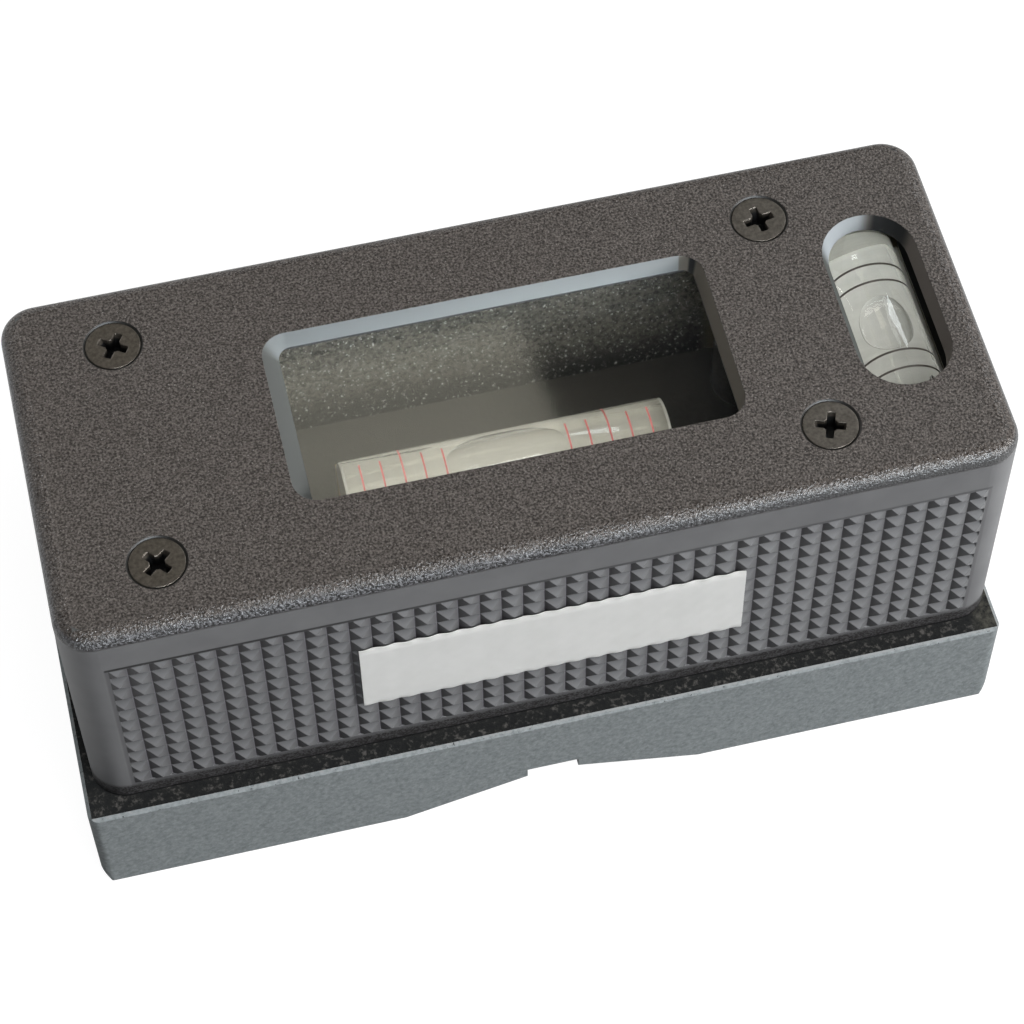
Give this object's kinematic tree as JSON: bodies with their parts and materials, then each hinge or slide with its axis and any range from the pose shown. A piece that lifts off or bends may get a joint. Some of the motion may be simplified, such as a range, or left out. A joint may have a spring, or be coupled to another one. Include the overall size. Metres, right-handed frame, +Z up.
{
  "type": "crankshaft level",
  "caption": "Small precision spirit level with a shallow V base, a grip-moulded cover with a window, an adjustable main vial and a cross vial.",
  "frame": {"origin": "middle of the underside of the base, where the level stands", "axes": "+X along the length towards the cross vial, +Y from the labelled front to the back, +Z up"},
  "size_m": [0.09, 0.0414, 0.042],
  "materials": {
    "base_paint": "grey hammer finish paint on cast iron, ground underside",
    "cover_plastic": "fine grained black plastic with smooth rims",
    "steel": "turned, plain",
    "black_steel": "black oxide",
    "pane_glass": "clear, polished",
    "rubber": "matt",
    "vial_glass": "clear, filled, polished",
    "air": "clear",
    "vial_bed": "cream setting compound",
    "brass": "machined",
    "stand_plastic": "moulded black",
    "label": "satin white film, bare"
  },
  "bodies": {
    "frame": {"base_casting": "base_paint", "cover": "cover_plastic", "cover_posts": "steel", "cover_screws": "black_steel", "window_pane": "pane_glass", "window_seal": "rubber", "pivot_bracket": "steel", "pivot_pin": "steel", "bracket_screws": "black_steel", "adjusting_spring": "steel", "cross_vial_tube": "vial_glass", "cross_vial_plugs": "vial_bed", "cross_vial_bed": "vial_bed", "cross_vial_stand": "stand_plastic", "stand_screws": "black_steel", "label": "label"},
    "vial_holder": {"main_vial_holder": "brass", "main_vial_bed": "vial_bed", "main_vial_tube": "vial_glass", "main_vial_plugs": "vial_bed"},
    "main_bubble": {"main_vial_bubble": "air"},
    "cross_bubble": {"cross_vial_bubble": "air"},
    "adjuster_carriage": {"adjusting_washer": "steel"},
    "adjuster": {"adjusting_screw": "black_steel"}
  },
  "joints": [
    {"name": "adjuster_travel", "type": "slide", "parent": "frame", "child": "adjuster_carriage", "axis": [0, 0, 1], "range_m": [-0.00025, 0.00025]},
    {"name": "adjuster_turn", "type": "hinge", "parent": "adjuster_carriage", "child": "adjuster", "pos_m": [0.027, 0, 0.022], "axis": [0, 0, 1], "range_deg": [-180, 180]},
    {"name": "holder_tilt", "type": "hinge", "parent": "frame", "child": "vial_holder", "pos_m": [-0.024, 0, 0.02], "axis": [0, 1, 0], "range_deg": [-0.29, 0.29], "deforming": ["adjusting_spring"]},
    {"name": "main_bubble_slide", "type": "slide", "parent": "vial_holder", "child": "main_bubble", "axis": [1, 0, 0], "range_m": [-0.0075, 0.0075], "stiffness_N_per_m": 0.05},
    {"name": "cross_bubble_slide", "type": "slide", "parent": "frame", "child": "cross_bubble", "axis": [0, 1, 0], "range_m": [-0.005, 0.005], "stiffness_N_per_m": 0.05}
  ],
  "couplings": [
    {"joint": "adjuster_turn", "follows": "adjuster_travel", "rad_per_m": 12566},
    {"joint": "holder_tilt", "follows": "adjuster_travel", "rad_per_m": -19.608}
  ]
}
